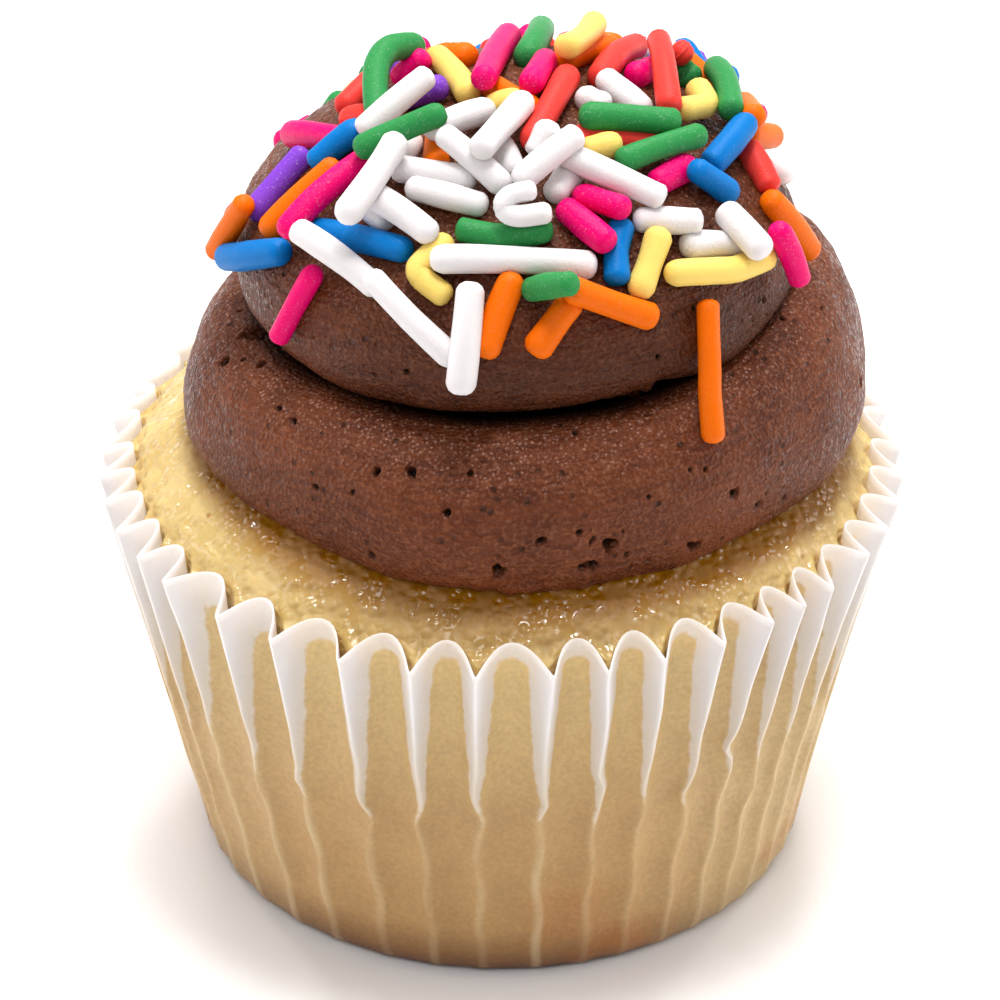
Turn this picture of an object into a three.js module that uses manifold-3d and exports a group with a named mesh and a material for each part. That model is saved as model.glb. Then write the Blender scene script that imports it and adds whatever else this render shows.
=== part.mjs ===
// A mini cupcake in its pleated paper case: vanilla sponge, a two-tier swirl of
// chocolate buttercream and rod-shaped sugar sprinkles pressed into its top.
// Millimetres, +Z up, origin at the middle of the base, front towards -Y.

import * as THREE from 'three';
import { ParametricGeometry } from 'three/addons/geometries/ParametricGeometry.js';
import { mergeVertices } from 'three/addons/utils/BufferGeometryUtils.js';
import Module from 'manifold-3d';

// Paper case
const CASE_HEIGHT = 22.2;
const CASE_BASE_RADIUS = 15.95;
const CASE_TAPER = 0.19;
const CASE_FLARE = 0.0023;
const CASE_CORNER = 0.9;
const PAPER = 0.35;
const PLEAT_DEPTH_LOW = 0.3;
const PLEAT_DEPTH_RIM = 1.8;
const PLEAT_OPENS_AT = 9;
const VALLEY_RISE = 1.0;
// Inside a pleat the two paper layers lie together, so it is shallower there.
const PLEAT_INSIDE = 0.6;
// The pleats were crimped unevenly: ridge angles of the front, in degrees from -Y to +X.
const FRONT_RIDGES = [
  -103, -93, -85, -78, -70, -62, -53, -42.5, -33, -22, -12.5, -3.5,
  6.5, 15.5, 23.5, 32, 39.5, 46.5, 54, 61.5, 69.5, 77.5, 86, 94, 104,
];
const BACK_PLEATS = 17;

// Sponge
const GAP = 0.3;
const SPONGE_EDGE_HEIGHT = 22.4;
const SPONGE_CROWN = 26.2;
const SPONGE_EDGE_RADIUS = 19.3;
const SPONGE_DOME_POWER = 6;
const SPONGE_PLEAT_SHARE = 0.3;

// Buttercream
const LOWER_RADIUS = 17.75;
const LOWER_FOOT = 16.6;
const LOWER_WIDEST = 27.7;
const LOWER_OFFSET = { x: 1.0, y: -0.3 };
const UPPER_RADIUS = 14.7;
const UPPER_WIDEST = 35.4;
const UPPER_TOP = 43.5;
const UPPER_OFFSET = { x: 0.95, y: 0 };
const CREASE_HEIGHT = 33.1;
const CREASE_RADIUS = 12.4;
const CREASE_SHALLOW_RADIUS = 14.8;
// The rope of buttercream climbs from the left to the right by twice this.
const SWIRL_CLIMB = 0.6;
const SWIRL_CLIMBS_FROM = 23;
// The crease is deep from the left to the front right, and closes where the swirl climbs.
const CREASE_CLOSED_AT = 80;
const CREASE_CLOSED_HALF_WIDTH = 55;
// The lower ring is a little less than round between its front, back and sides, most of
// all at the front right and the back left.
const RING_FLAT = 0.28;
const RING_SKEW = 0.12;
const ICING_SLICES = 60;

// Sprinkles
const SPRINKLE_RADIUS = 0.75;
const SPRINKLE_LENGTH = 5.4;
const SPRINKLE_LENGTH_SPREAD = 1.8;
const SPRINKLE_SINK = 0.3;
const SPRINKLE_SPOTS = 420;
const SPRINKLE_CLEARANCE = 1.3;
// Lowest spot on the dome, as a share of the way from its top to its widest line.
const SPRINKLE_LOWEST = 0.88;
const SEED = 9;

const wasm = await Module();
wasm.setup();

const lerp = THREE.MathUtils.lerp;
const smooth = THREE.MathUtils.smoothstep;
const degrees = THREE.MathUtils.degToRad;

// A repeatable source of random numbers from 0 to 1.
function randomSource(seed) {
  let state = seed;
  return () => {
    state = (state * 1664525 + 1013904223) % 4294967296;
    return state / 4294967296;
  };
}

// ---- Closed surfaces round the Z axis ----

// Each station is a function of the angle that sets one point of the outline; the outline
// starts and ends on the axis, and runs so that the solid lies on its left.
function solidRound(angles, stations) {
  const place = (u, v, target) => {
    const angle = angles[Math.round(u * angles.length) % angles.length];
    const station = stations[Math.round(v * (stations.length - 1))];
    station(angle, target);
  };
  return closed(new ParametricGeometry(place, angles.length, stations.length - 1));
}

// Merges the shared corners and drops the triangles that have shrunk to a line on the axis.
function closed(geometry) {
  geometry.deleteAttribute('normal');
  geometry.deleteAttribute('uv');
  const merged = mergeVertices(geometry, 1e-4);
  const corners = merged.index.array;
  const kept = [];
  for (let i = 0; i < corners.length; i += 3) {
    const [a, b, c] = [corners[i], corners[i + 1], corners[i + 2]];
    if (a !== b && b !== c && c !== a) kept.push(a, b, c);
  }
  merged.setIndex(kept);
  return merged;
}

// Sets a point from its angle (0 at the front, +90 degrees at +X), radius and height.
function polar(angle, radius, height, target) {
  target.set(radius * Math.sin(angle), -radius * Math.cos(angle), height);
}

function evenAngles(count) {
  return Array.from({ length: count }, (_, i) => (i / count) * 2 * Math.PI);
}

// ---- Paper case ----

function ridgeAngles() {
  const first = FRONT_RIDGES[0];
  const last = FRONT_RIDGES.at(-1);
  const step = (360 - last + first) / (BACK_PLEATS + 1);
  const back = Array.from({ length: BACK_PLEATS }, (_, i) => last + step * (i + 1));
  return [...FRONT_RIDGES, ...back].map(degrees);
}

// A pleat in section: 1 on its sharp ridge, 0 in the wide round valley between two ridges.
function pleatShape(phase) {
  const across = 2 * phase - 1;
  return 1 - Math.sqrt(1 - across * across);
}

// The angles at which the case has corners, each with its height on the pleat's section.
function pleatCorners(phases) {
  const ridges = ridgeAngles();
  const angles = [];
  const shape = new Map();
  ridges.forEach((ridge, i) => {
    const next = i + 1 < ridges.length ? ridges[i + 1] : ridges[0] + 2 * Math.PI;
    for (const phase of phases) {
      const angle = lerp(ridge, next, phase);
      angles.push(angle);
      shape.set(angle, pleatShape(phase));
    }
  });
  return { angles, shape };
}

function ridgeRadius(height) {
  return CASE_BASE_RADIUS + CASE_TAPER * height + CASE_FLARE * height * height;
}

function pleatDepth(height) {
  const open = Math.max(0, (height - PLEAT_OPENS_AT) / (CASE_HEIGHT - PLEAT_OPENS_AT));
  return lerp(PLEAT_DEPTH_LOW, PLEAT_DEPTH_RIM, Math.pow(open, 1.3));
}

function valleyRadius(height) {
  return ridgeRadius(height) - pleatDepth(height);
}

function makePaperCase() {
  const { angles, shape } = pleatCorners([0, 0.14, 0.34, 0.66, 0.86]);
  const outer = (height, inset = 0) => (angle, target) => {
    const rise = VALLEY_RISE * (1 - shape.get(angle)) * (height / CASE_HEIGHT);
    const radius = valleyRadius(height) + pleatDepth(height) * shape.get(angle) - inset;
    polar(angle, radius, height + rise, target);
  };
  const inner = (height) => (angle, target) => {
    const rise = VALLEY_RISE * (1 - shape.get(angle)) * (height / CASE_HEIGHT);
    const fold = pleatDepth(height) * shape.get(angle) * PLEAT_INSIDE;
    polar(angle, valleyRadius(height) + fold - PAPER, height + rise, target);
  };
  const floor = (radius, height) => (angle, target) => polar(angle, radius, height, target);
  const stations = [
    floor(0, 0),
    (angle, target) => {
      outer(0, CASE_CORNER)(angle, target);
      target.z = 0;
    },
    outer(CASE_CORNER),
    outer(CASE_HEIGHT * 0.42),
    outer(CASE_HEIGHT * 0.72),
    outer(CASE_HEIGHT),
    inner(CASE_HEIGHT),
    inner(CASE_HEIGHT * 0.72),
    inner(CASE_HEIGHT * 0.42),
    inner(CASE_CORNER + PAPER),
    floor(valleyRadius(0) - CASE_CORNER - PAPER, PAPER),
    floor(0, PAPER),
  ];
  return solidRound(angles, stations);
}

// ---- Sponge ----

function spongeTop(x, y) {
  const reach = Math.hypot(x, y) / SPONGE_EDGE_RADIUS;
  const drop = (SPONGE_CROWN - SPONGE_EDGE_HEIGHT) * Math.pow(reach, SPONGE_DOME_POWER);
  return SPONGE_CROWN - drop;
}

function makeSponge() {
  const { angles, shape } = pleatCorners([0, 0.5]);
  const side = (height) => (angle, target) => {
    const fold = pleatDepth(height) * shape.get(angle) * SPONGE_PLEAT_SHARE;
    polar(angle, valleyRadius(height) - PAPER - GAP + fold, height, target);
  };
  const top = (radius) => (angle, target) => {
    polar(angle, radius, spongeTop(radius, 0), target);
  };
  const bottom = PAPER + GAP;
  const stations = [
    (angle, target) => polar(angle, 0, bottom, target),
    (angle, target) => polar(angle, valleyRadius(0) - 2 * CASE_CORNER, bottom, target),
    side(CASE_CORNER * 2),
    side(CASE_HEIGHT * 0.42),
    side(CASE_HEIGHT * 0.72),
    side(SPONGE_EDGE_HEIGHT - 1.2),
    top(18.3),
    top(17.3),
    top(15.8),
    top(13.5),
    top(9),
    top(0),
  ];
  return solidRound(angles, stations);
}

// ---- Buttercream ----

// How far the crease is closed at an angle: 0 open, 1 closed.
function creaseClosed(angle) {
  const away = Math.abs(Math.atan2(
    Math.sin(angle - degrees(CREASE_CLOSED_AT)),
    Math.cos(angle - degrees(CREASE_CLOSED_AT)),
  ));
  const half = degrees(CREASE_CLOSED_HALF_WIDTH);
  return 1 - smooth(away, half * 0.5, half);
}

// A quarter ellipse from (radius a, height a) to (radius b, height b); share runs 0 to 1.
function quarter(from, to, share, bulgeFirst) {
  const turn = share * Math.PI / 2;
  const out = bulgeFirst ? Math.sin(turn) : 1 - Math.cos(turn);
  const up = bulgeFirst ? 1 - Math.cos(turn) : Math.sin(turn);
  return [lerp(from[0], to[0], out), lerp(from[1], to[1], up)];
}

function makeButtercream() {
  const onSponge = (radius) => (angle, target) => {
    polar(angle, radius, 0, target);
    target.x += LOWER_OFFSET.x;
    target.y += LOWER_OFFSET.y;
    target.z = spongeTop(target.x, target.y) + GAP;
  };
  const swirl = (pick) => (angle, target) => {
    const [radius, height] = pick(angle);
    const spread = Math.min(1, radius / CREASE_RADIUS);
    const climbed = smooth(height, LOWER_WIDEST, UPPER_WIDEST);
    const flat = RING_FLAT * (1 - Math.cos(4 * angle)) + RING_SKEW * Math.sin(2 * angle);
    const wave = -flat * spread * (1 - climbed);
    const climb = SWIRL_CLIMB * Math.sin(angle) * spread * smooth(height, SWIRL_CLIMBS_FROM, LOWER_WIDEST);
    polar(angle, radius + wave, height + climb, target);
    target.x += lerp(LOWER_OFFSET.x, UPPER_OFFSET.x, climbed);
    target.y += lerp(LOWER_OFFSET.y, UPPER_OFFSET.y, climbed);
  };
  const crease = (angle, tuck) => {
    const radius = lerp(CREASE_RADIUS, CREASE_SHALLOW_RADIUS, creaseClosed(angle));
    return [radius + tuck, CREASE_HEIGHT];
  };
  const foot = (angle) => {
    const point = new THREE.Vector3();
    onSponge(LOWER_FOOT)(angle, point);
    return [LOWER_FOOT, point.z];
  };
  const widest = [LOWER_RADIUS, LOWER_WIDEST];
  const lip = [UPPER_RADIUS, UPPER_WIDEST];
  const top = [0, UPPER_TOP];
  const stations = [
    onSponge(0),
    onSponge(9),
    onSponge(13.5),
    onSponge(LOWER_FOOT),
    ...[0.35, 0.7, 1].map((s) => swirl((angle) => quarter(foot(angle), widest, s, true))),
    ...[0.25, 0.45, 0.65, 0.82, 1].map((s) => swirl((angle) => (
      quarter(widest, crease(angle, 0), s, false)))),
    ...[0.4, 0.7, 1].map((s) => swirl((angle) => quarter(crease(angle, 0.1), lip, s, true))),
    ...[0.16, 0.3, 0.44, 0.58, 0.72, 0.86].map((s) => swirl(() => quarter(lip, top, s, false))),
    (angle, target) => target.set(UPPER_OFFSET.x, UPPER_OFFSET.y, UPPER_TOP),
  ];
  return solidRound(evenAngles(ICING_SLICES), stations);
}

// ---- Sprinkles ----

// A rod with rounded ends, along Z.
function sprinkleRod(length) {
  const half = length / 2;
  const r = SPRINKLE_RADIUS;
  const outline = [[0, -half], [0.8 * r, -half + 0.35 * r], [r, -half + r],
    [r, half - r], [0.8 * r, half - 0.35 * r], [0, half]];
  const rod = new THREE.LatheGeometry(outline.map(([x, y]) => new THREE.Vector2(x, y)), 5);
  return rod.rotateX(Math.PI / 2);
}

// The spot on the dome, its outward direction, and two directions along its surface.
function domeFrame(angle, drop) {
  const turn = drop * Math.PI / 2;
  const rise = UPPER_TOP - UPPER_WIDEST;
  const spot = new THREE.Vector3();
  polar(angle, UPPER_RADIUS * Math.sin(turn), UPPER_WIDEST + rise * Math.cos(turn), spot);
  const around = new THREE.Vector3(Math.cos(angle), Math.sin(angle), 0);
  const down = new THREE.Vector3();
  polar(angle, UPPER_RADIUS * Math.cos(turn), -rise * Math.sin(turn), down);
  down.normalize();
  const out = new THREE.Vector3().crossVectors(down, around).normalize();
  spot.x += UPPER_OFFSET.x;
  spot.y += UPPER_OFFSET.y;
  return { spot, around, down, out };
}

function placeRod(frame, heading, length) {
  const along = frame.around.clone().multiplyScalar(Math.cos(heading));
  along.addScaledVector(frame.down, Math.sin(heading));
  const middle = frame.spot.clone();
  middle.addScaledVector(frame.out, SPRINKLE_RADIUS - SPRINKLE_SINK);
  const turn = new THREE.Quaternion().setFromUnitVectors(new THREE.Vector3(0, 0, 1), along);
  return { middle, along, length, turn };
}

// The nearest distance between two rods, taken at points along them.
function rodDistance(one, other) {
  const steps = [-0.5, -0.25, 0, 0.25, 0.5];
  const pointsOf = (rod) => steps.map((s) => (
    rod.middle.clone().addScaledVector(rod.along, s * (rod.length - 2 * SPRINKLE_RADIUS))));
  const near = pointsOf(one).map((p) => Math.min(...pointsOf(other).map((q) => p.distanceTo(q))));
  return Math.min(...near);
}

// Spots spread evenly over the dome by the golden angle; a rod that would lie across an
// earlier one is left out.
function scatterRods() {
  const random = randomSource(SEED);
  const golden = Math.PI * (3 - Math.sqrt(5));
  const rods = [];
  for (let i = 0; i < SPRINKLE_SPOTS; i += 1) {
    const drop = SPRINKLE_LOWEST * Math.sqrt((i + 0.5) / SPRINKLE_SPOTS);
    const heading = random() * Math.PI;
    const length = SPRINKLE_LENGTH + (random() - 0.5) * 2 * SPRINKLE_LENGTH_SPREAD;
    const rod = placeRod(domeFrame(i * golden, drop), heading, length);
    if (rods.every((other) => rodDistance(rod, other) > SPRINKLE_CLEARANCE)) rods.push(rod);
  }
  return rods;
}

// ---- Joining ----

function toManifold(geometry) {
  const vertProperties = new Float32Array(geometry.attributes.position.array);
  const triVerts = new Uint32Array(geometry.index.array);
  return new wasm.Manifold(new wasm.Mesh({ numProp: 3, vertProperties, triVerts }));
}

function toGeometry(manifold) {
  const mesh = manifold.getMesh();
  const geometry = new THREE.BufferGeometry();
  const points = new THREE.BufferAttribute(new Float32Array(mesh.vertProperties), 3);
  geometry.setAttribute('position', points);
  geometry.setIndex(Array.from(mesh.triVerts));
  return geometry;
}

// Joins the rods to the buttercream; the largest piece is kept, so a hollow that the rods
// seal is filled.
function makeIcing() {
  let joined = toManifold(makeButtercream());
  for (const rod of scatterRods()) {
    const geometry = sprinkleRod(rod.length).applyQuaternion(rod.turn);
    geometry.translate(rod.middle.x, rod.middle.y, rod.middle.z);
    joined = joined.add(toManifold(closed(geometry)));
  }
  const pieces = joined.decompose();
  pieces.sort((a, b) => b.volume() - a.volume());
  return toGeometry(pieces[0]);
}

// ---- Assembly ----

function part(name, geometry, color, roughness) {
  geometry.computeVertexNormals();
  const material = new THREE.MeshStandardMaterial({ color, roughness, metalness: 0 });
  const mesh = new THREE.Mesh(geometry, material);
  mesh.name = name;
  return mesh;
}

const cupcake = new THREE.Group();
cupcake.add(part('paper_case', makePaperCase(), 0xe4d6c2, 0.8));
cupcake.add(part('sponge', makeSponge(), 0xe6c88c, 0.45));
cupcake.add(part('icing', makeIcing(), 0x6a3f30, 0.55));

export default cupcake;
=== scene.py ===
"""A mini cupcake: paper case, vanilla sponge, chocolate buttercream swirl, sugar sprinkles."""
import math
import random

import bmesh
import bpy
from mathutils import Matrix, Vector, noise
from mathutils.bvhtree import BVHTree


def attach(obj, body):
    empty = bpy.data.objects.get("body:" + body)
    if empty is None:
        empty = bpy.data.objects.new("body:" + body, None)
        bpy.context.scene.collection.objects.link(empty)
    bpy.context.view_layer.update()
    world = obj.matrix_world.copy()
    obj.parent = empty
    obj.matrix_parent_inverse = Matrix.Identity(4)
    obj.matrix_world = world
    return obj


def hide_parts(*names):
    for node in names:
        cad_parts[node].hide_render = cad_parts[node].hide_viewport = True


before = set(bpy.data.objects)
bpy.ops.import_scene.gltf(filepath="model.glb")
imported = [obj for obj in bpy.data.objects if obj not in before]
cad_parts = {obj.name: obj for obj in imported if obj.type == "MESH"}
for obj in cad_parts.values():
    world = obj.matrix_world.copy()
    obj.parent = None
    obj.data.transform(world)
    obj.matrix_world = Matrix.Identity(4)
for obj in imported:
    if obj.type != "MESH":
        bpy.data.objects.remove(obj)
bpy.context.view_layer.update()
MM = 0.001

# ---------------------------------------------------------------- Camera
# A long lens looks down on the front of the cake from a little above its top, so that the
# whole swirl and the front of the case show.
picture_size = 1000
lens_mm = 224.1
sensor_mm = 36.0
eye_distance = 330.0 * MM
eye_elevation = math.radians(31.8)
look_at = Vector((-0.1, 0.0, 19.5)) * MM

eye_forward = Vector((0, math.cos(eye_elevation), -math.sin(eye_elevation)))
eye_up = Vector((0, math.sin(eye_elevation), math.cos(eye_elevation)))
eye_right = Vector((1, 0, 0))
eye = look_at - eye_forward * eye_distance
camera_data = bpy.data.cameras.new("camera")
camera_data.lens = lens_mm
camera_data.sensor_width = sensor_mm
camera = bpy.data.objects.new("camera", camera_data)
camera.location = eye
camera.rotation_euler = (math.pi / 2 - eye_elevation, 0, 0)
bpy.context.collection.objects.link(camera)
bpy.context.scene.camera = camera


def sight_line(across, down):
    """The direction in which the camera sees a point of its picture, in pixels."""
    step = sensor_mm / lens_mm / picture_size
    half = picture_size / 2
    return (eye_forward + eye_right * (across - half) * step
            + eye_up * (half - down) * step).normalized()


# ---------------------------------------------------------------- Paper case
# A round of thin white greaseproof paper, crimped into sharp outward ridges with wide
# round valleys. The cake stuck to the valleys and stained them tan; the ridges stand
# clear of it in the upper half and stay white.
case_height = 22.2
case_base_radius = 15.95
case_taper = 0.19
case_flare = 0.0023
case_floor = [(0, 0), (6, 0), (11, 0), (14, 0), (15.0, 0), (15.45, 0.1), (15.8, 0.4)]
case_floor_ends = (13.5, 15.6)
case_rows = 46
columns_per_pleat = 18
paper_thickness = 0.08
case_bow = 0.15
case_belly = 0.12
crumple_depth = 0.05
# The pleats are shallow near the base and open towards the rim.
pleat_depth_low = 0.42
pleat_depth_rim = 1.8
pleat_opens_at = 9.0
pleat_opening_power = 1.3
base_pleat_share = 0.2
pleat_full_from = 7
valley_rise = 0.95
rim_wobble = 0.14
valley_roundness = 0.92
valley_widening = 0.1
ridge_sharpness_rim = 0.15
ridge_sharpness_low = 0.34
ridge_sharpens = (3, 15)
# Where the cake holds the sheet: up to an arch in each pleat, lower on the loose side.
cake_contact_top = 22.25
cake_contact_rim = 0.36
cake_contact_low = 0.84
arch_drop = 2.2
arch_clearance = 0.35
loose_side = (-95, -45)
loose_drop = 2.6
# Ridge lines wander below the middle of the wall, and each has one kink.
wander_rises = (0, 4)
wander_fades = (12, 17)
wander_depth = 0.09
kink_half_height = 0.65
fold_shows_from = 0.66
front_ridges = [-103, -93, -85, -78, -70, -62, -53, -42.5, -33, -22, -12.5, -3.5,
                6.5, 15.5, 23.5, 32, 39.5, 46.5, 54, 61.5, 69.5, 77.5, 86, 94, 104]
back_pleats = 17

crimp_luck = random.Random(11)
ridge_turns = list(front_ridges)
back_step = (360 - front_ridges[-1] + front_ridges[0]) / (back_pleats + 1)
for number in range(back_pleats):
    ridge_turns.append(front_ridges[-1] + back_step * (number + 1)
                       + crimp_luck.uniform(-0.9, 0.9))
pleat_count = len(ridge_turns)
ridge_lean = [crimp_luck.uniform(-0.3, 0.3) for _ in ridge_turns]
ridge_curl = [crimp_luck.choice((0, 0, 0.35, -0.35, 0.2)) for _ in ridge_turns]
ridge_kink = [(crimp_luck.uniform(9, 14),
               crimp_luck.choice((-1, 1)) * crimp_luck.uniform(0.08, 0.3))
              for _ in ridge_turns]
ridge_mark = [crimp_luck.uniform(0.4, 1) for _ in ridge_turns]
ridge_stand = [crimp_luck.uniform(0.88, 1.08) for _ in ridge_turns]


def smooth_step(low, high, value):
    share = min(1.0, max(0.0, (value - low) / (high - low)))
    return share * share * (3 - 2 * share)


def between_steps(rise, fall, value):
    """0, then 1 after the rise, then 0 again after the fall."""
    return smooth_step(*rise, value) * (1 - smooth_step(*fall, value))


def blend_between(low, high, share):
    return low + (high - low) * share


def at_angle(angle, radius, height, shift=0.0):
    """The point, in mm, at an angle from the front towards the right."""
    return Vector((radius * math.sin(angle) - shift, -radius * math.cos(angle), height))


def side_of(angle):
    """An angle in degrees from the front, -180 to 180, with the right side above 0."""
    return math.degrees(math.atan2(math.sin(angle), math.cos(angle)))


def turn_of(spot):
    """How far round the cake a spot lies, from 0 to 1, starting at the front."""
    return (math.atan2(spot.x, -spot.y) / (2 * math.pi)) % 1.0


def ridge_radius(height):
    return case_base_radius + case_taper * height + case_flare * height * height


def pleat_depth(height):
    opened = max(0.0, (height - pleat_opens_at) / (case_height - pleat_opens_at))
    flattened = blend_between(base_pleat_share, 1, smooth_step(0, pleat_full_from, height))
    return flattened * blend_between(pleat_depth_low, pleat_depth_rim,
                                     opened ** pleat_opening_power)


def pleat_section(phase, height):
    """1 on the ridge at either end of a pleat, 0 in the middle of its valley."""
    from_ridge = 1 - abs(2 * phase - 1)
    softness = blend_between(ridge_sharpness_low, ridge_sharpness_rim,
                             smooth_step(*ridge_sharpens, height))
    eased = math.sqrt(from_ridge ** 2 + softness ** 2) - softness
    across = valley_roundness * (1 - eased / (math.sqrt(1 + softness ** 2) - softness))
    return ((1 - math.sqrt(1 - across * across))
            / (1 - math.sqrt(1 - valley_roundness * valley_roundness)))


def pleat_at(turn):
    """Which pleat a turn of 0 to 1 round the case falls in, and how far across it."""
    place = turn * pleat_count
    number = int(place) % pleat_count
    return number, place - int(place)


def pleat_angle(number, phase):
    start = ridge_turns[number]
    end = ridge_turns[(number + 1) % pleat_count]
    if end < start:
        end += 360
    spread = phase - valley_widening * math.sin(2 * math.pi * phase)
    return math.radians(blend_between(start, end, spread)), spread


def bowed_by(height):
    """How far the whole wall bows to the left at a height, in mm."""
    return case_bow * math.sin(math.pi * min(1.0, height / case_height))


def side_painted_light(side):
    """How much painted light the side gets at a turn in degrees, from 0 on the front to 1 at the
    right.
    """
    return between_steps((12, 62), (115, 150), side)


def crimp(vert, clear_layer, fold_layer, painted_light_layer):
    """Moves a point of the plain cup to its place on the pleated one.

    The first layer gets how far the sheet stands clear of the cake there, in mm, below 0
    where they touch.
    """
    radius = math.hypot(vert.co.x, vert.co.y) / MM
    height = vert.co.z / MM
    columns = pleat_count * columns_per_pleat
    turn = round(turn_of(vert.co) * columns) / columns
    number, phase = pleat_at(turn % 1.0)
    angle, spread = pleat_angle(number, phase)
    section = pleat_section(spread, height)
    ridge = number if phase < 0.5 else (number + 1) % pleat_count
    fold = pleat_depth(height) * (1 + (ridge_stand[ridge] - 1) * section)
    on_wall = smooth_step(*case_floor_ends, radius)
    upward = height / case_height
    kink_at, kink_by = ridge_kink[ridge]
    sway = (ridge_lean[ridge] * upward ** 3 + ridge_curl[ridge] * smooth_step(0.8, 1, upward)
            + 2.0 * kink_by * math.exp(-((height - kink_at) / kink_half_height) ** 2)
            + (wander_depth + 0.3 * abs(kink_by))
            * between_steps(wander_rises, wander_fades, height)
            * math.sin(height * 1.25 + ridge * 2.3))
    crumple = crumple_depth * noise.noise(Vector((turn * 90, height * 0.35, 3)))
    belly = case_belly * math.sin(math.pi * min(1.0, upward))
    radius += on_wall * (crumple + belly - fold * (1 - section))
    angle += on_wall * sway * section / max(radius, 1)
    bowed = bowed_by(height)
    wobble = rim_wobble * noise.noise(Vector((number * 3.1 + spread, 5, 0)))
    height += upward * (valley_rise * (1 - section) + wobble)
    vert.co = at_angle(angle, radius, height, bowed) * MM

    side = side_of(angle)
    loose = between_steps((loose_side[0] - 60, loose_side[0]),
                          (loose_side[1], loose_side[1] + 22), side)
    arch_top = (cake_contact_top - arch_drop * section ** 1.2
                - loose_drop * loose * (0.6 + 0.8 * noise.noise(Vector((angle * 6, 2, 0)))))
    reach = blend_between(cake_contact_low, cake_contact_rim, upward)
    vert[clear_layer] = max(fold * section - reach, arch_clearance * (height - arch_top))
    worn = 0.65 + 0.6 * noise.noise(Vector((ridge * 3.7, height * 0.35, 1)))
    vert[fold_layer] = smooth_step(fold_shows_from, 1.0, section) * ridge_mark[ridge] * worn
    # Painted light on the right side, and half as much on the left.
    vert[painted_light_layer] = max(side_painted_light(side),
                           0.5 * between_steps((-25, -65), (-130, -160), side))


def spin_round(bm, steps):
    """Turns an outline that stands on the X side of the Z axis into a round surface."""
    bmesh.ops.spin(bm, geom=bm.verts[:] + bm.edges[:], axis=(0, 0, 1), cent=(0, 0, 0),
                   dvec=(0, 0, 0), angle=2 * math.pi, steps=steps, use_merge=True,
                   use_duplicate=False)
    bmesh.ops.remove_doubles(bm, verts=bm.verts[:], dist=0.0005 * MM)
    bmesh.ops.recalc_face_normals(bm, faces=bm.faces[:])


def draw_outline(bm, points):
    """Joins points of a half section, in mm from the axis and up, by edges."""
    corners = [bm.verts.new((radius * MM, 0, height * MM)) for radius, height in points]
    for near, far in zip(corners, corners[1:]):
        bm.edges.new((near, far))
    return corners


def set_out(bm, name, finish):
    """Makes an object of a shape and its finish."""
    mesh = bpy.data.meshes.new(name)
    bm.to_mesh(mesh)
    bm.free()
    mesh.materials.append(finish.material)
    thing = bpy.data.objects.new(name, mesh)
    bpy.context.collection.objects.link(thing)
    return thing


def finish_piece(bm, name, finish, replaced=()):
    """Makes a smooth piece of the cake that stands still on its one body."""
    for face in bm.faces:
        face.smooth = True
    piece = set_out(bm, name, finish)
    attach(piece, "root")
    if replaced:
        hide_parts(*replaced)


def from_screen(red, green, blue):
    """A colour as a screen shows it, 0 to 255, as the light that a surface gives back."""
    return tuple(((c / 255 + 0.055) / 1.055) ** 2.4 if c > 10 else c / 255 / 12.92
                 for c in (red, green, blue)) + (1.0,)


# Grain that several finishes share: fine lumps over coarser ones.
grain = bpy.data.node_groups.new("food_grain", "ShaderNodeTree")
for socket_name, default in (("Scale", 1000.0), ("Coarse Scale", 300.0), ("Coarse Share", 0.4)):
    grain.interface.new_socket(socket_name, in_out="INPUT",
                               socket_type="NodeSocketFloat").default_value = default
grain.interface.new_socket("Vector", in_out="INPUT", socket_type="NodeSocketVector")
grain.interface.new_socket("Height", in_out="OUTPUT", socket_type="NodeSocketFloat")
grain_in = grain.nodes.new("NodeGroupInput").outputs
grain_out = grain.nodes.new("NodeGroupOutput")
lump_mix = grain.nodes.new("ShaderNodeMix")
grain.links.new(grain_in["Coarse Share"], lump_mix.inputs["Factor"])
for scale_name, detail, mix_side in (("Scale", 0.8, "A"), ("Coarse Scale", 3.0, "B")):
    lumps = grain.nodes.new("ShaderNodeTexNoise")
    lumps.inputs["Detail"].default_value = detail
    grain.links.new(grain_in[scale_name], lumps.inputs["Scale"])
    grain.links.new(grain_in["Vector"], lumps.inputs["Vector"])
    grain.links.new(lumps.outputs["Fac"], lump_mix.inputs[mix_side])
grain.links.new(lump_mix.outputs["Result"], grain_out.inputs["Height"])


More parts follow.
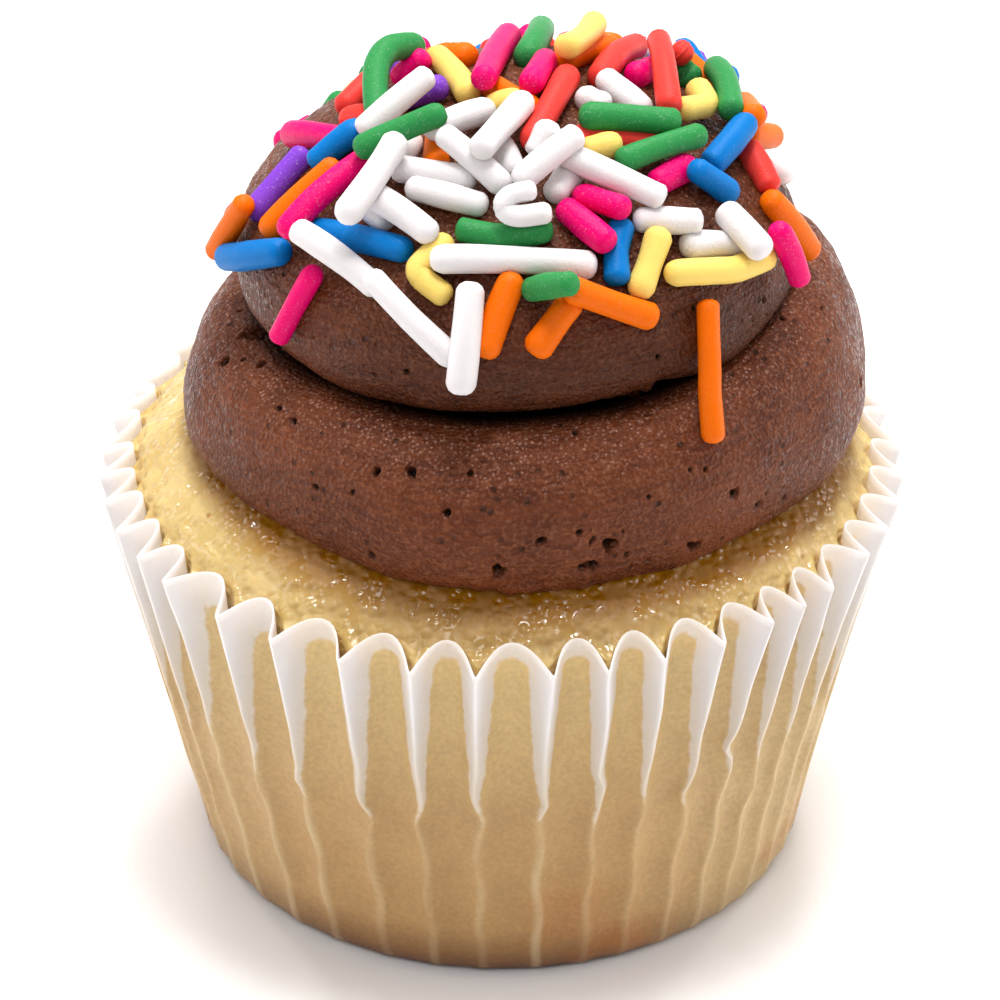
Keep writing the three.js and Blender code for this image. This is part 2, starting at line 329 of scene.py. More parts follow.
class Finish:
    """A material, with its shader and short ways to build the pattern that feeds it."""

    def __init__(self, name, roughness, specular, through=0.0, through_mm=(1.0, 1.0, 1.0)):
        self.material = bpy.data.materials.new(name)
        self.material.use_nodes = True
        self.tree = self.material.node_tree
        self.shader = self.tree.nodes["Principled BSDF"]
        self.place = self.tree.nodes.new("ShaderNodeTexCoord").outputs["Object"]
        for socket, value in (("Roughness", roughness), ("Specular IOR Level", specular),
                              ("Subsurface Weight", through),
                              ("Subsurface Radius", through_mm), ("Subsurface Scale", 1 * MM)):
            self.shader.inputs[socket].default_value = value

    def node(self, kind, inputs=(), **settings):
        node = self.tree.nodes.new(kind)
        for key, value in settings.items():
            setattr(node, key, value)
        for key, value in dict(inputs).items():
            self.join(value, node.inputs[key])
        return node

    def join(self, value, socket):
        if isinstance(value, bpy.types.NodeSocket):
            self.tree.links.new(value, socket)
        else:
            socket.default_value = value

    def feed(self, value, socket_name):
        self.join(value, self.shader.inputs[socket_name])

    def clouds(self, scale, detail=2.0, vector=None):
        """Soft uneven patches."""
        return self.node("ShaderNodeTexNoise", {
            "Scale": scale, "Detail": detail, "Vector": vector or self.place}).outputs["Fac"]

    def spots(self, scale):
        """Scattered spots: how far off the nearest is, and a chance colour for each."""
        cells = self.node("ShaderNodeTexVoronoi", {"Scale": scale, "Vector": self.place})
        return cells.outputs["Distance"], cells.outputs["Color"]

    def spread(self, value, low, high, to_low=0.0, to_high=1.0, shape="LINEAR"):
        """Takes a value from one range to another."""
        return self.node("ShaderNodeMapRange", {
            "Value": value, "From Min": low, "From Max": high, "To Min": to_low,
            "To Max": to_high}, interpolation_type=shape).outputs["Result"]

    def maths(self, operation, *values, kind="ShaderNodeMath"):
        return self.node(kind, enumerate(values), operation=operation).outputs[0]

    def mix(self, share, under, over, kind="RGBA"):
        return self.node("ShaderNodeMix", {"Factor": share, "A": under, "B": over},
                         data_type=kind).outputs["Result"]

    def ramp(self, value, *stops):
        """Colours along a value, from pairs of place and colour."""
        node = self.node("ShaderNodeValToRGB", {"Fac": value})
        bands = node.color_ramp.elements
        while len(bands) < len(stops):
            bands.new(0.5)
        for band, (place, color) in zip(bands, stops):
            band.position = place
            band.color = color
        return node.outputs["Color"]

    def layer(self, name, output="Fac"):
        """What the piece's own mesh says at each point."""
        return self.node("ShaderNodeAttribute", attribute_name=name).outputs[output]

    def upward(self, vector):
        return self.node("ShaderNodeSeparateXYZ", {0: vector}).outputs["Z"]

    def grain(self, scale, coarse_scale, coarse_share):
        return self.node("ShaderNodeGroup", {
            "Scale": scale, "Coarse Scale": coarse_scale, "Coarse Share": coarse_share,
            "Vector": self.place}, node_tree=grain).outputs["Height"]

    def bump(self, height, distance_mm, strength=1.0):
        """Feeds a height to the shader's normal, over whatever is there already."""
        bump = self.node("ShaderNodeBump", {
            "Distance": distance_mm * MM, "Strength": strength, "Height": height})
        before = self.shader.inputs["Normal"].links
        if before:
            self.tree.links.new(before[0].from_socket, bump.inputs["Normal"])
        self.feed(bump.outputs["Normal"], "Normal")


case_bm = bmesh.new()
case_layers = [case_bm.verts.layers.float.new(name)
               for name in ("clear_of_cake", "fold_line", "painted_side_light")]
wall = [(ridge_radius(case_height * row / case_rows), case_height * row / case_rows)
        for row in range(2, case_rows + 1)]
draw_outline(case_bm, case_floor + wall)
spin_round(case_bm, pleat_count * columns_per_pleat)
for vert in case_bm.verts:
    crimp(vert, *case_layers)
bmesh.ops.recalc_face_normals(case_bm, faces=case_bm.faces[:])
if sum(face.normal.z for face in case_bm.faces if face.calc_center_median().z < 0.01 * MM) > 0:
    bmesh.ops.reverse_faces(case_bm, faces=case_bm.faces[:])
bmesh.ops.solidify(case_bm, geom=case_bm.faces[:], thickness=paper_thickness * MM)

paper_white = from_screen(229, 220, 217)
paper_white_low = from_screen(214, 192, 170)
paper_fold = from_screen(216, 190, 152)
paper_tan_top = from_screen(218, 181, 124)
paper_tan_middle = from_screen(182, 142, 92)
paper_tan_low = from_screen(181, 138, 88)
paper_tan_base = from_screen(92, 50, 28)
paper_tan_painted_light = from_screen(200, 168, 121)
paper_scorch = from_screen(176, 104, 50)
painted_light_share = 0.75
fold_share = 0.48

paper = Finish("greaseproof_paper", roughness=0.5, specular=0.3, through=0.6,
               through_mm=(0.6, 0.5, 0.42))
height_up = paper.upward(paper.place)
level = paper.spread(height_up, 0, case_height * MM)
clear_sheet = paper.ramp(level, (0.4, paper_white_low), (0.9, paper_white))
tan = paper.ramp(level, (0.0, paper_tan_base), (0.15, paper_tan_low), (0.5, paper_tan_middle),
                 (1.0, paper_tan_top))
# Painted light on the sides of the stain, most on the right.
tan = paper.mix(paper.maths("MULTIPLY", paper.layer("painted_side_light"), painted_light_share), tan,
                paper_tan_painted_light)
# Low down the oven coloured it in patches.
scorched = paper.maths("MULTIPLY", paper.spread(paper.clouds(160, 4), 0.52, 0.72, 0, 0.6),
                       paper.spread(height_up, 9 * MM, 2 * MM))
tan = paper.mix(scorched, tan, paper_scorch)
fibres = paper.grain(3800, 420, 0.4)
stained = paper.maths("MULTIPLY", tan, paper.spread(fibres, 0.35, 0.65, 0.91, 1.09),
                      kind="ShaderNodeVectorMath")
stained = paper.mix(paper.maths("MULTIPLY", paper.layer("fold_line"), fold_share), stained,
                    paper_fold)
ragged_edge = paper.maths("MULTIPLY_ADD", paper.clouds(1300, 4), 0.3, -0.15)
clearance = paper.maths("ADD", paper.layer("clear_of_cake"), ragged_edge)
touching = paper.spread(clearance, 0.1, -0.1, shape="SMOOTHSTEP")
# Butter crept a little way into the sheet beyond where the cake touches it.
crept = paper.spread(clearance, 0.85, 0, 0, 0.38)
paper.feed(paper.mix(paper.maths("MAXIMUM", touching, crept), clear_sheet, stained),
           "Base Color")
paper.bump(fibres, 0.035, 0.6)
finish_piece(case_bm, "paper_case_sheet", paper, ["paper_case"])

# ---------------------------------------------------------------- Sponge
# Pale vanilla cake, baked in the case: it fills the pleats a little and domes over the
# rim. Its moist skin is finely pitted and shines in many small glints.
sponge_crown = 26.2
sponge_edge_height = 22.4
sponge_edge_radius = 19.3
sponge_dome_power = 6
sponge_base = 0.4
sponge_pleat_share = 0.55
sponge_columns = pleat_count * 22
sponge_side_clearance = 0.12
edge_drop = 0.7
sponge_lumps = [(0.14, 0.4), (0.05, 1.1), (0.06, 2.2)]
# Where the ring of buttercream stands on the sponge, and how wide the painted shade under it
# reaches.
lower_foot = 16.1
lower_offset = Vector((1.0, -0.3, 0))
shade_starts = 0.8
shade_width = 1.4
shade_width_front = 2.1
shade_widest_at = math.radians(-10)


def lumps_at(spot, lumps):
    """Unevenness at a spot, from pairs of depth in mm and of lumps to the mm."""
    return sum(depth * noise.noise(spot * fineness) for depth, fineness in lumps)


def sponge_top(x, y):
    reach = math.hypot(x, y) / sponge_edge_radius
    return sponge_crown - (sponge_crown - sponge_edge_height) * reach ** sponge_dome_power


def settle_sponge(vert, shaded_layer, painted_light_layer):
    """Presses the sponge's side into the pleats, and roughens its top."""
    radius = math.hypot(vert.co.x, vert.co.y) / MM
    height = vert.co.z / MM
    number, phase = pleat_at(turn_of(vert.co))
    angle, spread = pleat_angle(number, phase)
    edge = smooth_step(18.2, 19.15, radius) if height > 21 else smooth_step(1, 4, height)
    section = pleat_section(spread, height)
    radius += edge * pleat_depth(min(height, case_height)) * section * sponge_pleat_share
    height -= (edge_drop * section * smooth_step(18.6, 19.15, radius)
               * smooth_step(21, 22, height))
    spot = at_angle(angle, radius, height, bowed_by(height))
    rise = smooth_step(20.5, 22.2, height) * lumps_at(spot, sponge_lumps)
    spot += at_angle(angle, 1, 2.4).normalized() * rise
    vert.co = spot * MM
    # Painted shade on the crumb in a band outside the cream's foot, widest towards the front.
    reach = (spot - lower_offset).xy.length - lower_foot - shade_starts
    fade = (shade_width
            + shade_width_front * max(0.0, math.cos(angle - shade_widest_at)) ** 4)
    vert[shaded_layer] = 1 - smooth_step(0, fade, reach)
    # Painted light on the right side of the crumb.
    vert[painted_light_layer] = side_painted_light(side_of(angle))


sponge_bm = bmesh.new()
sponge_layers = [sponge_bm.verts.layers.float.new(name)
                 for name in ("painted_shade_under_cream", "painted_side_light")]
side_wall = [(ridge_radius(h) - pleat_depth(h) - paper_thickness - sponge_side_clearance, h)
             for h in (1.2, 3, 6, 9, 12, 15, 17, 19, 20, 20.6)]
dome = []
radius = 19.1
while radius > 12:
    dome.append((radius, sponge_top(radius, 0)))
    radius -= 0.1 if radius > 15 else 0.5
draw_outline(sponge_bm, [(reach, sponge_base) for reach in (0, 8, 14.3)] + side_wall + dome
             + [(8, sponge_top(8, 0)), (4, sponge_top(4, 0)), (0, sponge_crown)])
spin_round(sponge_bm, sponge_columns)
for vert in sponge_bm.verts:
    settle_sponge(vert, *sponge_layers)
bmesh.ops.recalc_face_normals(sponge_bm, faces=sponge_bm.faces[:])

crumb_pale = from_screen(209, 181, 119)
crumb_painted_light = from_screen(229, 200, 134)
crumb_deep = from_screen(199, 169, 103)
crumb_spot = from_screen(160, 104, 40)
crumb_shaded = from_screen(146, 94, 4)

crumb = Finish("vanilla_crumb", roughness=0.4, specular=0.6, through=0.6,
               through_mm=(1.4, 0.9, 0.4))
skin = crumb.ramp(crumb.clouds(260, 5), (0.35, crumb_deep), (0.62, crumb_pale))
# Painted light on the sides of the crumb, most on the right.
skin = crumb.mix(crumb.layer("painted_side_light"), skin, crumb_painted_light)
dark_dots = crumb.maths("MULTIPLY", crumb.spread(crumb.spots(420)[0], 0.10, 0.04),
                        crumb.spread(crumb.clouds(500), 0.52, 0.6))
skin = crumb.mix(dark_dots, skin, crumb_spot)
# Painted shade on the crumb under the overhang of the cream.
crumb.feed(crumb.mix(crumb.layer("painted_shade_under_cream"), skin, crumb_shaded), "Base Color")
# Tiny bubbles that broke at the skin: each is a small dome that can catch the light.
crumb.bump(crumb.spread(crumb.spots(1900)[0], 0, 0.75, 1, 0, "SMOOTHSTEP"), 0.1)
crumb.bump(crumb.grain(1500, 900, 0.35), 0.06)
# Moist places shine, and dry ones are dull.
crumb.feed(crumb.spread(crumb.clouds(700, 3), 0.46, 0.53, 0.55, 0.05), "Roughness")
finish_piece(sponge_bm, "sponge_cake", crumb, ["sponge"])

# ---------------------------------------------------------------- Buttercream
# Chocolate buttercream, piped from a wide round nozzle: a fat ring, then a smaller one
# that closes into a dome, with a deep crease between them that closes where the rope
# climbs on the right. Air left small holes, and the nozzle faint streaks.
icing_columns = 520
lower_radius = 17.75
lower_widest = 27.7
upper_radius = 14.7
upper_widest = 35.4
upper_top = 43.5
upper_offset = Vector((0.95, 0.0, 0))
top_leans = Vector((-0.5, 0, 0))
top_leans_from = (34.2, 37.5)
icing_sinks = 0.3
# The crease: its outer edge, its bottom, and how it closes and climbs on the right.
crest_radius = 13.9
crease_height = 33.1
crest_drop = 0.4
trough_radius = 11.0
trough_drop = 2.5
crease_gap = 1.5
crease_closed_radius = 14.1
crease_closed_at = math.radians(80)
crease_closed_half = math.radians(55)
crease_rise = 1.4
crease_climbs = ((38, 80), (95, 150))
torn_at = 28.5
torn_step = 0.6
torn_lumps = 1.3
# The rings are not quite round, and lean where the rope climbs or sags.
ring_flat = 0.28
ring_skew = 0.12
swirl_climb = 0.6
swirl_climbs_from = 23.0
side_sag = 0.35
right_bulge = 0.4
middle_radius = 12.4
# The ring bulges and draws in as the hand moved: where, how wide, and by how much.
hand_pressed = [(-43, 15, 0.25), (-18, 14, -0.45), (24, 20, 0.4)]
# Rows of the surface from the middle underneath to the top.
underside_rows, belly_rows, shoulder_rows, trough_rows = 8, 14, 26, 7
wall_rows, lip_rows, dome_rows = 4, 14, 58
crease_first = underside_rows + belly_rows + shoulder_rows
row_total = crease_first + trough_rows + wall_rows + lip_rows + dome_rows


def crease_closed(angle):
    """0 where the crease is open, 1 where the climbing rope has closed it."""
    away = angle - crease_closed_at
    away = abs(math.atan2(math.sin(away), math.cos(away)))
    return 1 - smooth_step(crease_closed_half * 0.5, crease_closed_half, away)


def quarter_round(start, end, share, bulge_first):
    """A point on a quarter of an ellipse between two points (radius, height)."""
    turn = share * math.pi / 2
    out = math.sin(turn) if bulge_first else 1 - math.cos(turn)
    up = 1 - math.cos(turn) if bulge_first else math.sin(turn)
    return blend_between(start[0], end[0], out), blend_between(start[1], end[1], up)


def on_sponge(angle, radius):
    spot = at_angle(angle, radius, 0) + lower_offset
    spot.z = sponge_top(spot.x, spot.y) - icing_sinks
    return spot


def swirl_point(angle, row):
    """The plain surface of the swirl at an angle and a row, in mm."""
    if row <= underside_rows:
        return on_sponge(angle, lower_foot * row / underside_rows)
    row -= underside_rows
    foot = (lower_foot, on_sponge(angle, lower_foot).z)
    widest = (lower_radius, lower_widest)
    closed = crease_closed(angle)
    side = math.degrees(angle)
    meeting = crease_height + crease_rise * between_steps(*crease_climbs, side)
    crest = (blend_between(crest_radius, crease_closed_radius, closed),
             meeting - crest_drop * (1 - closed))
    trough = (blend_between(trough_radius, crease_closed_radius - 0.05, closed),
              meeting - trough_drop * (1 - closed))
    torn = torn_step * between_steps((torn_at - 1.5, torn_at + 1), (torn_at + 6, torn_at + 30),
                                     side)
    roof = (trough[0], trough[1] + 0.1 + (crease_gap + torn) * (1 - closed))
    lip = (upper_radius, upper_widest)
    for rows, start, end, bulge_first in (
            (belly_rows, foot, widest, True), (shoulder_rows, widest, crest, False),
            (trough_rows, crest, trough, True), (wall_rows, trough, roof, True),
            (lip_rows, roof, lip, True), (dome_rows, lip, (0, upper_top), False)):
        if row <= rows:
            break
        row -= rows
    radius, height = quarter_round(start, end, min(1.0, row / rows), bulge_first)
    spread = min(1.0, radius / middle_radius)
    climbed = smooth_step(lower_widest, upper_widest, height)
    flat = ring_flat * (1 - math.cos(4 * angle)) + ring_skew * math.sin(2 * angle)
    flat += sum(depth * math.exp(-((side - at) / width) ** 2)
                for at, width, depth in hand_pressed)
    raised = smooth_step(swirl_climbs_from, lower_widest, height)
    bulge = right_bulge * max(0.0, math.sin(angle)) ** 2 * raised
    radius += (bulge - flat) * spread * (1 - climbed)
    height += (swirl_climb * math.sin(angle) - side_sag * math.sin(angle) ** 2) * spread * raised
    return (at_angle(angle, radius, height) + lower_offset.lerp(upper_offset, climbed)
            + top_leans * smooth_step(*top_leans_from, height))


icing_bm = bmesh.new()
row_mark = icing_bm.verts.layers.float.new("row")
outline = draw_outline(icing_bm, [
    (10 * math.sin(math.pi * row / row_total), 34 - 10 * math.cos(math.pi * row / row_total))
    for row in range(row_total + 1)])
for row, vert in enumerate(outline):
    vert[row_mark] = row
spin_round(icing_bm, icing_columns)
for vert in icing_bm.verts:
    vert.co = swirl_point(math.atan2(vert.co.x, -vert.co.y), vert[row_mark]) * MM
bmesh.ops.recalc_face_normals(icing_bm, faces=icing_bm.faces[:])
icing_bm.normal_update()

comb = icing_bm.verts.layers.float_vector.new("comb")
painted_shade = icing_bm.verts.layers.float.new("painted_shade")
cream_lumps = [(0.35, 0.12), (0.14, 0.35)]
comb_depth = 0.06
fine_lumps = [(0.035, 2.4)]
stroke_at = math.radians(-44)
tear_depth = 0.5
ragged_depth = 0.3
# How dark the painted shade gets in the crease, under the dome's edge, and on the dome, and
# where round it the dome's is darkest.
crease_painted_shade = 0.97
dome_painted_shade = 0.12
dome_painted_shade_front = 0.16
under_dome_painted_shade = 0.22
painted_shade_peak_at = math.radians(30)


def rows_between(rise, fall, row):
    """1 between rows counted from the start of the crease, with soft ends."""
    return between_steps((crease_first + rise[0], crease_first + rise[1]),
                         (crease_first + fall[0], crease_first + fall[1]), row)


hand_work = []
for vert in icing_bm.verts:
    spot = vert.co / MM
    row = vert[row_mark]
    angle = math.atan2(spot.x, -spot.y)
    side = math.degrees(angle)
    # Strokes of the palette knife cross the nozzle's streaks in one place.
    stroke_arc = (angle - stroke_at) * 16
    slanting = math.exp(-(stroke_arc / 4.5) ** 2 - ((spot.z - 26) / 3) ** 2)
    vert[comb] = Vector((spot.x * 0.14, spot.y * 0.14, row * 0.3 - stroke_arc * slanting))
    push = (lumps_at(spot, cream_lumps) + comb_depth * noise.noise(vert[comb] * 2.0)
            + lumps_at(spot, fine_lumps))
    tearing = math.exp(-((side - 31) / 7) ** 2)
    push += tear_depth * tearing * noise.noise(spot * torn_lumps) * rows_between(
        (0, 3), (17, 24), row)
    low_edge = 1 - smooth_step(underside_rows + 6, underside_rows + 9, row)
    ragged = math.exp(-((side - 4) / 16) ** 2)
    push += ragged_depth * low_edge * ragged * noise.noise(spot * torn_lumps)
    shown = smooth_step(underside_rows, underside_rows + 3, row)
    hand_work.append(vert.normal * push * shown * MM)

    # Painted shade: near black in the crease, less where the crease closes, and on and under the
    # dome, most towards the front right.
    in_crease = rows_between((-3, 2), (14, 19), row)
    under_dome = rows_between((11, 16), (22, 40), row)
    on_dome = smooth_step(crease_first + 11, crease_first + 16, row)
    facing = max(0.0, math.cos(angle - painted_shade_peak_at))
    vert[painted_shade] = max(crease_painted_shade * in_crease * (1 - 0.4 * crease_closed(angle)),
                       dome_painted_shade * on_dome
                       + (dome_painted_shade_front * on_dome + under_dome_painted_shade * under_dome) * facing)
for vert, move in zip(icing_bm.verts, hand_work):
    vert.co += move

# Holes that air left: where they show on the front, and their width across.
front_holes = [
    ((256, 333), 1.5), ((223, 361), 0.8), ((243, 359), 0.4), ((262, 363), 0.7),
    ((278, 407), 0.5), ((293, 420), 0.5), ((315, 488), 0.45), ((377, 472), 0.6),
    ((411, 472), 0.7), ((372, 556), 0.5), ((405, 372), 0.45), ((541, 541), 0.6),
    ((580, 533), 0.4), ((610, 545), 1.1), ((498, 571), 0.9), ((583, 567), 0.7),
    ((594, 566), 0.7), ((627, 554), 0.4), ((695, 546), 0.95), ((735, 493), 0.7),
    ((758, 505), 0.7), ((649, 497), 0.35), ((706, 469), 0.4), ((767, 493), 0.35),
    ((784, 498), 0.4), ((240, 310), 0.5), ((470, 472), 0.45), ((352, 492), 0.4),
    ((447, 514), 0.6), ((694, 308), 0.35), ((861, 382), 0.7), ((783, 318), 0.45),
    ((659, 357), 0.45), ((764, 300), 0.4), ((822, 308), 0.4), ((575, 432), 0.35),
    ((690, 470), 0.35)]
hidden_holes = 30
hole_depth = 0.7
hole_luck = random.Random(5)
icing_tree = BVHTree.FromBMesh(icing_bm)
holes = []
for (across, down), width in front_holes:
    spot = icing_tree.ray_cast(eye, sight_line(across, down))[0]
    if spot is not None:
        holes.append((spot, width))
for number in range(hidden_holes):
    angle = math.radians(hole_luck.uniform(105, 255))
    row = underside_rows + hole_luck.uniform(0.35, 0.9) * (belly_rows + shoulder_rows)
    rough_place = swirl_point(angle, row) * MM
    holes.append((icing_tree.find_nearest(rough_place)[0], hole_luck.uniform(0.4, 1.0)))
for spot, width in holes:
    reach = width * 0.9 * MM
    near = {e for v in icing_bm.verts if (v.co - spot).length < reach for e in v.link_edges}
    bmesh.ops.subdivide_edges(icing_bm, edges=list(near), cuts=2, use_grid_fill=True)
icing_bm.normal_update()
for spot, width in holes:
    near = [v for v in icing_bm.verts if (v.co - spot).length < width * MM]
    if not near:
        continue
    inward = -sum((v.normal for v in near), Vector()).normalized()
    for vert in near:
        away = (vert.co - spot).length / MM
        uneven = 1 + 0.9 * noise.noise(vert.co / MM * 2.3)
        depth = 1 - smooth_step(width * 0.15, width * 0.5 * uneven, away)
        vert.co += inward * depth * width * hole_depth * MM
        # The holes get painted shade, darkest in their middles.
        vert[painted_shade] = max(vert[painted_shade], depth)
bmesh.ops.recalc_face_normals(icing_bm, faces=icing_bm.faces[:])
icing_tree = BVHTree.FromBMesh(icing_bm)

cocoa = from_screen(103, 49, 20)
cocoa_deep = from_screen(76, 31, 11)
cocoa_grain = from_screen(142, 84, 54)
cocoa_painted_glint = from_screen(190, 146, 128)
cocoa_painted_shade = from_screen(4, 1, 0)

cream = Finish("chocolate_buttercream", roughness=0.46, specular=0.18, through=0.05,
               through_mm=(0.6, 0.25, 0.15))
streaks = cream.clouds(3.4, 3, cream.layer("comb", "Vector"))
tone = cream.ramp(cream.mix(0.45, cream.clouds(180, 6), streaks, "FLOAT"),
                  (0.38, cocoa_deep), (0.6, cocoa))
cream_grain = cream.grain(4800, 1700, 0.3)
tone = cream.mix(cream.spread(cream_grain, 0.48, 0.68, 0, 0.45), tone, cocoa_grain)
# Light specks are painted where sugar crystals sit on the skin that faces up: painted glints and
# sheen from the light above.
crystal_reach, crystal_chance = cream.spots(4600)
crystal_pick = cream.node("ShaderNodeSeparateColor", {"Color": crystal_chance}).outputs
painted_sheen_facing_up = cream.spread(cream.upward(cream.node("ShaderNodeNewGeometry").outputs["Normal"]),
                     0.35, 0.9, 0, 0.6)
painted_glint_specks = cream.maths("MULTIPLY", cream.spread(crystal_reach, 0.42, 0.2),
                       crystal_pick["Green"])
tone = cream.mix(cream.maths("MULTIPLY", painted_glint_specks, painted_sheen_facing_up), tone, cocoa_painted_glint)
# Small pits: painted shade in them, and a bump further down presses them in.
pits = cream.maths("MULTIPLY", cream.spread(cream.spots(1100)[0], 0.22, 0.10),
                   cream.spread(cream.clouds(600), 0.46, 0.56))
# The painted shade of the crease, dome and holes, and of the pits, darkens the colour.
painted_shade_share = cream.maths("MAXIMUM", cream.layer("painted_shade"), cream.maths("MULTIPLY", pits, 0.6))
cream.feed(cream.mix(painted_shade_share, tone, cocoa_painted_shade), "Base Color")
cream.feed(cream.spread(crystal_pick["Red"], 0.7, 0.8, 0.52, 0.25), "Roughness")
cream.bump(cream_grain, 0.22)
cream.bump(streaks, 0.13, 0.8)
cream.bump(cream.maths("MULTIPLY", pits, -1), 0.12)
finish_piece(icing_bm, "buttercream_swirl", cream, ["icing"])

# ---------------------------------------------------------------- Sprinkles
# Extruded sugar rods with rounded ends, dropped on while the cream was soft: the lower
# ones sank in, and the rest lie across each other. Those in front are given by their
# layer and their points in the camera's view, from end to end; the rest are scattered.
rod_radius = 0.71
rod_sides = 14
rod_steps = 12
rod_press = 0.28
rod_squeeze = 0.1
rod_give = 0.12
rod_droop = 0.004
widest_overhang = 1.0
highest_rod = 45.2
rods_by_color = {
    "white": [
        (2, (424, 75), (366, 128)), (1, (434, 128), (484, 111)), (2, (521, 104), (482, 147)),
        (2, (394, 145), (349, 211)), (1, (373, 195), (425, 230)), (0, (375, 212), (385, 218)),
        (1, (401, 169), (464, 178)), (1, (418, 189), (477, 204)), (0, (410, 143), (399, 163)),
        (1, (447, 137), (499, 182)), (0, (501, 147), (512, 167)), (2, (301, 232), (372, 284)),
        (2, (376, 282), (449, 355)), (1, (443, 259), (587, 265)),
        (3, (528, 191), (507, 194), (499, 208), (511, 218), (545, 213)),
        (2, (470, 294), (461, 384)), (0, (690, 245), (738, 244)), (1, (728, 214), (760, 248)),
        (0, (644, 220), (694, 221)), (-1, (778, 170), (783, 172)), (0, (609, 82), (640, 108)),
        (0, (587, 99), (601, 104)), (1, (568, 155), (657, 196)), (2, (574, 128), (524, 177)),
        (0, (548, 131), (538, 150)), (0, (557, 191), (570, 174))],
    "green": [
        (1, (377, 108), (378, 78), (388, 56), (413, 46)), (2, (364, 147), (434, 111)),
        (1, (464, 230), (503, 237), (541, 231)), (2, (534, 289), (568, 284)),
        (0, (719, 65), (731, 109)), (0, (684, 72), (690, 78)), (1, (591, 116), (671, 122)),
        (1, (625, 160), (696, 136)), (0, (541, 29), (528, 56))],
    "blue": [
        (1, (319, 159), (353, 132)), (1, (228, 257), (278, 252)), (1, (304, 228), (401, 249)),
        (1, (621, 228), (615, 253), (617, 277)), (1, (700, 172), (727, 191)),
        (0, (744, 126), (713, 162))],
    "orange": [
        (-1, (456, 55), (466, 56)), (0, (491, 86), (528, 107)), (1, (271, 228), (330, 171)),
        (0, (217, 249), (232, 228), (243, 206)), (0, (438, 134), (436, 163)),
        (1, (510, 285), (487, 347)), (0, (568, 306), (538, 347)), (0, (576, 291), (648, 316)),
        (0, (772, 202), (808, 248)), (1, (708, 308), (713, 434)), (-1, (749, 135), (771, 136)),
        (-1, (744, 104), (754, 116)), (-1, (688, 64), (705, 80)), (-1, (565, 61), (608, 48))],
    "yellow": [
        (0, (438, 58), (468, 93)), (0, (497, 105), (514, 101)),
        (0, (443, 245), (413, 271), (441, 293)), (1, (658, 238), (641, 287)),
        (1, (677, 273), (728, 273), (765, 258)), (1, (591, 149), (611, 145)),
        (0, (594, 24), (567, 46)), (0, (686, 109), (708, 107), (698, 90))],
    "pink": [
        (0, (403, 76), (420, 60)), (0, (508, 36), (484, 75)), (0, (293, 134), (340, 139)),
        (1, (290, 226), (364, 160)), (0, (312, 276), (280, 335)), (1, (585, 197), (619, 207)),
        (1, (568, 211), (605, 241)), (1, (780, 233), (799, 277)), (0, (659, 182), (686, 167)),
        (1, (545, 61), (532, 82)), (0, (637, 75), (650, 70))],
    "red": [
        (0, (347, 104), (373, 80)), (0, (353, 119), (378, 118)), (0, (750, 152), (768, 184)),
        (1, (659, 41), (669, 104)), (0, (635, 46), (616, 58), (601, 77)),
        (0, (679, 51), (682, 54)), (0, (584, 138), (650, 143)), (0, (567, 77), (533, 138))],
    "purple": [(0, (388, 104), (440, 87)), (0, (258, 208), (301, 158))],
}
# A few rods are thinner than the rest: the first point of each, and its share.
thin_rods = {(528, 191): 0.76, (780, 233): 0.92, (312, 276): 0.88, (708, 308): 0.92,
             (217, 249): 0.92}
# Each colour as a screen shows it, and how much of the rod's skin is dusted with sugar.
rod_screen_colors = {
    "white": ((223, 218, 218), 0.0), "green": ((44, 132, 68), 0.4),
    "blue": ((0, 109, 181), 0.1), "orange": ((228, 102, 0), 0.1),
    "yellow": ((232, 200, 104), 0.1), "pink": ((224, 0, 102), 0.35),
    "red": ((218, 58, 50), 0.15), "purple": ((122, 60, 186), 0.6)}
dust_light = 0.75
dust_cover = 0.4
# The scattered ones lie level low on the dome, and thin out towards its edge.
scattered_spots = 1400
scattered_sink = 0.3
scattered_drop = 0.95
scattered_lengths = (2.6, 5.0)
level_above = 1.25
level_tilt = 0.35
thins_out = (1.1, 1.35)
thinned_by = 0.8
proud_limit = 2.2
rod_luck = random.Random(21)


def along_path(points, share):
    """A point part of the way along a run of points."""
    spans = [(far - near).length for near, far in zip(points, points[1:])]
    left = share * sum(spans)
    for near, far, span in zip(points, points[1:], spans):
        if left <= span or far is points[-1]:
            return near.lerp(far, left / max(span, 1e-9))
        left -= span
    return points[-1]


def rounded_path(points, count, passes):
    """Even points along a run of points, with its corners rounded off."""
    path = [along_path(points, number / (count - 1)) for number in range(count)]
    for _ in range(passes):
        path[1:-1] = [(near + 2 * here + far) / 4
                      for near, here, far in zip(path, path[1:], path[2:])]
    return path


def gap_to_rod(spot, path):
    """The distance from a spot to the middle line of a rod."""
    nearest = 1e9
    for near, far in zip(path, path[1:]):
        span = far - near
        share = min(1.0, max(0.0, (spot - near).dot(span) / max(span.length_squared, 1e-12)))
        nearest = min(nearest, (spot - near - span * share).length)
    return nearest


def over_cream(spot):
    """How far a spot lies above the cream, in mm, and the way straight off it."""
    nearest, outward = icing_tree.find_nearest(spot)[:2]
    away = spot - nearest
    return math.copysign(away.length / MM, away.dot(outward)), outward


def room_below(spot, laid):
    """How far a rod's middle line at a spot could still sink, in mm."""
    room = over_cream(spot)[0] - (rod_radius - rod_press)
    for other in laid:
        gap = gap_to_rod(spot, other["path"]) / MM
        room = min(room, gap - (2 * rod_radius - rod_squeeze))
    return room


